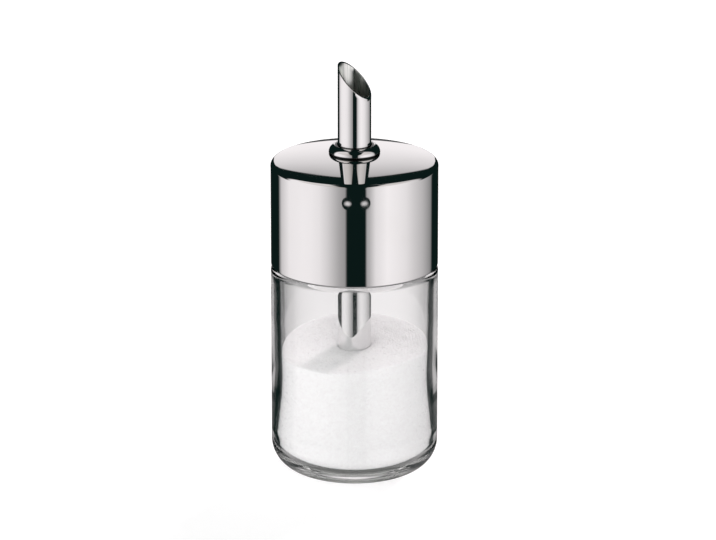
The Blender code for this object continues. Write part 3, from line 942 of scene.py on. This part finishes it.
# %% [markdown]
# ## The studio
#
# Steel and glass show the studio, so the studio is drawn as a picture all round the object, in the world
# shader: two big white walls of light at the sides, which fade to green-black towards the camera and
# towards the back, a dark strip in front and one overhead, a white panel behind, and a grey table
# below. The photograph shows other tones through the glass than on the steel, so rays that have passed
# through glass see some parts of the studio with tones of their own. Angles, in degrees, say where a
# direction lies: the azimuth from the viewer, positive to the right, and the elevation. Matt surfaces
# see an even white tent instead, and the camera sees plain white.

# %% Directions and tones
DEGREE = 180 / math.pi
DARK = (0.004, 0.011, 0.010)
WHITE = (1.0, 0.958, 0.968)
world = bpy.data.worlds.new("studio")
bpy.context.scene.world = world
world.use_nodes = True
world.node_tree.nodes.clear()
start = Wire(world.node_tree)
x = start.node("ShaderNodeSeparateXYZ", None, {"Vector": start.node("ShaderNodeTexCoord")})
y, z = x.out("Y"), x.out("Z")
azimuth = x.math("ARCTAN2", -y) * DEGREE
elevation = z.math("ARCSINE") * DEGREE
off_back = 180 - azimuth.math("ABSOLUTE")
sideways = x.math("ARCSINE") * DEGREE
over = z.math("ARCTAN2", x.math("ABSOLUTE")) * DEGREE
ray = start.node("ShaderNodeLightPath", output="Is Camera Ray")
in_glass = ray.out("Is Transmission Ray")


def tone(level):
    """A grey between the studio's green-black and its warm white."""
    return (*(d + (w - d) * level for d, w in zip(DARK, WHITE)), 1)


def grey(level):
    """A plain grey."""
    return (level, level, level, 1)


def tone_ramp(position, stops, low, high, shade=tone):
    """Shades by position between two ends, from stops of (position, level)."""
    return position.node(
        "ShaderNodeValToRGB",
        {"stops": [((at - low) / (high - low), shade(level)) for at, level in stops]},
        {"Fac": (position - low) / (high - low)})


# %% [markdown]
# The side walls are brightest at the sides and dim towards the front. Above the height at which the
# cap's upright wall and the tube see them they end sooner towards the back, and further up the front
# strip is wider, so the bead of the collar shows two small lights. High up in front the walls turn dim
# and warm, which tints the mirror image of the tube in the dome. Rays that have passed through glass
# find the walls dark higher up and at the far left: these are the dark lines in the thick glass.

# %% Side walls of light, front strip and overhead strip
SIDE_STOPS = (
    (-128, 0.0), (-125, 0.25), (-120, 0.66), (-101, 0.97), (-75, 1.02), (-62, 1.0), (-49, 0.93),
    (-38, 0.77), (-29, 0.60), (-21, 0.45), (-10, 0.32), (16, 0.42), (21, 0.54), (29, 0.87),
    (46, 1.05), (62, 0.98), (75, 0.90), (90, 0.72), (107, 0.55), (128, 0.28), (134, 0.0),
)
WARM_TONE = (0.30, 0.26, 0.20, 1)
WARM_ABOVE = (22.0, 32.0)
WARM_SHARE = 0.35
STRIP_LEFT = (-13.0, -9.0)
STRIP_RIGHT = (17.0, 13.5)
STRIP_SPREADS = (32.0, 46.0, 1.0, 1.7)
OVERHEAD = (74.0, 81.0)
SHORT_BEYOND = (94.0, 106.0)
SHORT_ABOVE = (-13.0, -6.0)
GLASS_DARK_ABOVE = (-12.0, -3.0)
GLASS_DARK_SHARE = 0.9
GLASS_DARK_LEFT = (-92.0, -106.0)

in_front = y < 0.0
walls = tone_ramp(azimuth, SIDE_STOPS, -180, 180)
walls = (in_front * elevation.fade(*WARM_ABOVE) * WARM_SHARE).mix(walls, WARM_TONE)
spread = sideways / elevation.fade(*STRIP_SPREADS)
dark = spread.fade(*STRIP_LEFT) * spread.fade(*STRIP_RIGHT) * in_front
for area in (
    over.fade(*OVERHEAD),
    in_glass * elevation.fade(*GLASS_DARK_ABOVE) * GLASS_DARK_SHARE,
    in_glass * (x < 0.0) * azimuth.fade(*GLASS_DARK_LEFT),
    azimuth.math("ABSOLUTE").fade(*SHORT_BEYOND) * elevation.fade(*SHORT_ABOVE),
):
    dark = dark.math("MAXIMUM", area)
walls = dark.mix(walls, tone(0))

# %% [markdown]
# The panel behind is brightest low down in its middle, and dims as an ellipse outwards. It is straight
# at the sides with a rounded top. A dark band crosses it low down: the dome shows it as the thin dark
# line along its far edge. Rays that have passed through glass see a plain, wider panel, which dims
# towards its sides, with a dark band a little lower.

# %% The panel behind
BACK_HALF_TURN = 46
BACK_STOPS = (
    (0.0, 1.0), (0.18, 1.0), (0.35, 0.92), (0.6, 0.78), (0.9, 0.55), (1.0, 0.42), (1.1, 0.38),
)
GLOW_BELOW, GLOW_UP, GLOW_SIDE = 10, 49.6, 19.0
PANEL_SHOULDER, PANEL_TOP, PANEL_SIDE = 24, 15.2, 10.3
PANEL_EDGE = (0.97, 1.04)
STEEL_BAND = ((-15.5, -14.5), (-1.2, -3.2), 0.95)
GLASS_STOPS = (
    (0, 0.91), (3.5, 0.87), (7, 0.79), (10.5, 0.65), (16, 0.56), (20, 0.45), (24, 0.0), (46, 0.0),
)
GLASS_LEAN = 0.2
GLASS_BAND = ((-17.2, -16.2), (-6.0, -7.5), 0.9)


def off_centre(up, side):
    """Square of a direction's distance from the panel's middle, in shares of an ellipse's half axes."""
    side = off_back / side
    return up * up + side * side


def dark_band(low, high, share):
    """How dark the band across the panel is: the share between two soft edges."""
    return elevation.fade(*low) * elevation.fade(*high) * share


glow = off_centre((elevation + GLOW_BELOW) / GLOW_UP, GLOW_SIDE)
outside = off_centre((elevation - PANEL_SHOULDER).math("MAXIMUM", 0.0) / PANEL_TOP, PANEL_SIDE)
dark = outside.fade(*PANEL_EDGE).math("MAXIMUM", dark_band(*STEEL_BAND))
steel_panel = dark.mix(tone_ramp(glow, BACK_STOPS, 0, 1.1), tone(0))
glass_panel = tone_ramp(off_back - sideways * GLASS_LEAN, GLASS_STOPS, 0, BACK_HALF_TURN)
glass_panel = dark_band(*GLASS_BAND).mix(glass_panel, tone(0))
studio = (off_back < BACK_HALF_TURN).mix(walls, in_glass.mix(steel_panel, glass_panel))

# %% [markdown]
# The tent that lights the matt surfaces is a little brighter from the left and from the front, and
# dims overhead.

# %% The table below, the tent for matt surfaces and plain white for the camera
TABLE_EDGE = -24
TABLE_FADE = (-24.0, -34.0)
GROUND_IN_STEEL = ((-90, 0.75), (-72, 0.70), (-60, 0.28), (-38, 0.22), (-24, 0.26))
GROUND_IN_GLASS = ((-90, 0.18), (-50, 0.20), (-43, 0.32), (-33, 0.34), (-24, 0.26))
TENT_STOPS = ((0, 1.01), (12, 1.04), (28, 1.14), (45, 1.14), (65, 0.75), (90, 0.7))
TENT_LEVEL, TENT_LEFT, TENT_SIDES, TENT_FRONT = 0.91, 0.29, 0.12, 0.37

ground = in_glass.mix(
    tone_ramp(elevation, GROUND_IN_STEEL, -90, TABLE_EDGE),
    tone_ramp(elevation, GROUND_IN_GLASS, -90, TABLE_EDGE))
studio = elevation.fade(*TABLE_FADE).mix(studio, ground)
tent = tone_ramp(elevation, TENT_STOPS, 0, 90, grey)
from_left_front = TENT_LEVEL - x * (x * TENT_SIDES + TENT_LEFT) - y * TENT_FRONT
tent = tent.node("ShaderNodeVectorMath", {"operation": "SCALE"}, {0: tent, "Scale": from_left_front})
soft_light = (ray.out("Diffuse Depth") > 0.5).mix(studio, tent)
light = ray.mix(soft_light, (1, 1, 1, 1))
background = start.node("ShaderNodeBackground", None, {"Color": light, "Strength": 1.0})
out = world.node_tree.nodes.new("ShaderNodeOutputWorld")
world.node_tree.links.new(background.socket, out.inputs["Surface"])

# %% [markdown]
# The photograph shows the tube's soft shadow on the sugar: it opens from the tube towards the front
# left. So a weak, wide lamp stands behind and to the right, low enough to shine in under the cap.
# Neither the steel nor the glass shows it.

# %% The lamp that throws the tube's shadow
LAMP_AZIMUTH = math.radians(33)
LAMP_ELEVATION = math.radians(28)
LAMP_WIDTH = math.radians(12)
LAMP_STRENGTH = 1.9
LAMP_COLOUR = (1.0, 0.885, 0.92)
lamp_data = bpy.data.lights.new("window_lamp", "SUN")
lamp_data.energy = LAMP_STRENGTH
lamp_data.color = LAMP_COLOUR
lamp_data.angle = LAMP_WIDTH
lamp = bpy.data.objects.new("window_lamp", lamp_data)
bpy.context.scene.collection.objects.link(lamp)
to_lamp = Vector((
    math.sin(LAMP_AZIMUTH) * math.cos(LAMP_ELEVATION),
    math.cos(LAMP_AZIMUTH) * math.cos(LAMP_ELEVATION),
    math.sin(LAMP_ELEVATION),
))
lamp.rotation_mode = "QUATERNION"
lamp.rotation_quaternion = to_lamp.to_track_quat("Z", "Y")
lamp.visible_glossy = lamp.visible_transmission = False
print("lamp direction:", [round(c, 2) for c in to_lamp])

# %% [markdown]
# In the middle of the cap's wall the photograph shows a dark round thing with two lights on it, which
# stood before the dispenser. Curved cards that only reflections see take its place. They bend round the
# axis, so that the bent mirror of the cap shows them level.

# %% Cards that only reflections see
CARD_DISTANCE = 0.18
CARD_Z = 61.1 * MM
CARD_HALF_HEIGHT = 2.5 * MM
CARD_POINTS = 48
LIGHT_HALF_WIDTH = 0.026
LIGHT_HALF_TURN = 6.6
LIGHT_HALF_HEIGHT = 0.72
CARD_STOPS = ((0.0, 0.80), (0.30, 0.62), (0.52, 0.22), (0.66, 0.0), (1.0, 0.0))


def card(name, turn, half_turn, light_turn):
    """An ellipse on an upright cylinder round the axis. All angles are in degrees, and the turn is from
    the viewer. Its tone depends on the distance from the middle of its light, in shares of the light's
    half sizes."""
    a = np.linspace(0, ROUND, CARD_POINTS, endpoint=False)
    heading = np.radians(turn + half_turn * np.cos(a))
    across, high = CARD_DISTANCE * np.sin(heading), CARD_Z + CARD_HALF_HEIGHT * np.sin(a)
    points = np.stack([across, -CARD_DISTANCE * np.cos(heading), high], axis=1)
    turned_by = math.radians(turn)
    middle = [(CARD_DISTANCE * math.sin(turned_by), -CARD_DISTANCE * math.cos(turned_by), CARD_Z)]
    mesh = bpy.data.meshes.new(name)
    fan = [(len(a), k, (k + 1) % len(a)) for k in range(len(a))]
    mesh.from_pydata(np.concatenate([points, middle]).tolist(), [], fan)
    made = bpy.data.objects.new(name, mesh)
    bpy.context.scene.collection.objects.link(made)
    made.visible_camera = made.visible_diffuse = made.visible_transmission = made.visible_shadow = False
    material, start = new_material(name)
    place = own_place(start)
    across = place - CARD_DISTANCE * math.sin(math.radians(light_turn))
    across = across / (LIGHT_HALF_WIDTH * half_turn / LIGHT_HALF_TURN)
    high = (place.out("Z") - CARD_Z) / (LIGHT_HALF_HEIGHT * CARD_HALF_HEIGHT)
    light = tone_ramp((across * across + high * high).math("SQRT"), CARD_STOPS, 0, 1)
    finish_material(start.node("ShaderNodeEmission", None, {"Color": light, "Strength": 1.0}))
    mesh.materials.append(material)


card("left_lobe_card", turn=-9.3, half_turn=6.6, light_turn=-8.4)
card("right_lobe_card", turn=13.4, half_turn=6.7, light_turn=12.4)

# %% [markdown]
# The floor is a big sheet of pale paper. The object's soft shadow falls on it. A little glow for the
# camera alone brings the lit paper up to the white of the backdrop. For light bounced off matt surfaces
# the paper is half clear, so that the tent lights them from below too.

# %% The floor
FLOOR_HALF = 6.0
FLOOR_DROP = 0.02 * MM
PAPER = 0.88
PAPER_ROUGH = 0.9
PAPER_CLEAR = 0.5
CAMERA_GLOW = 0.21
mesh = bpy.data.meshes.new("floor")
corners = FLOOR_HALF * np.array([(-1, -1, 0), (1, -1, 0), (1, 1, 0), (-1, 1, 0)]) + (0, 0, -FLOOR_DROP)
mesh.from_pydata(corners.tolist(), [], [(0, 1, 2, 3)])
floor = bpy.data.objects.new("floor", mesh)
bpy.context.scene.collection.objects.link(floor)
paper, start = new_material("floor_paper")
ray = start.node("ShaderNodeLightPath")
matt = principled(start, {
    "Base Color": (PAPER, PAPER, PAPER, 1), "Roughness": PAPER_ROUGH, "Specular IOR Level": 0.0,
    "Emission Color": (1, 1, 1, 1), "Emission Strength": ray * CAMERA_GLOW,
})
clear = start.node("ShaderNodeBsdfTransparent")
see_through = ray.out("Is Diffuse Ray") * PAPER_CLEAR
finish_material(start.node("ShaderNodeMixShader", None, {0: see_through, 1: matt, 2: clear}))
floor.visible_glossy = floor.visible_transmission = False
floor.data.materials.append(paper)
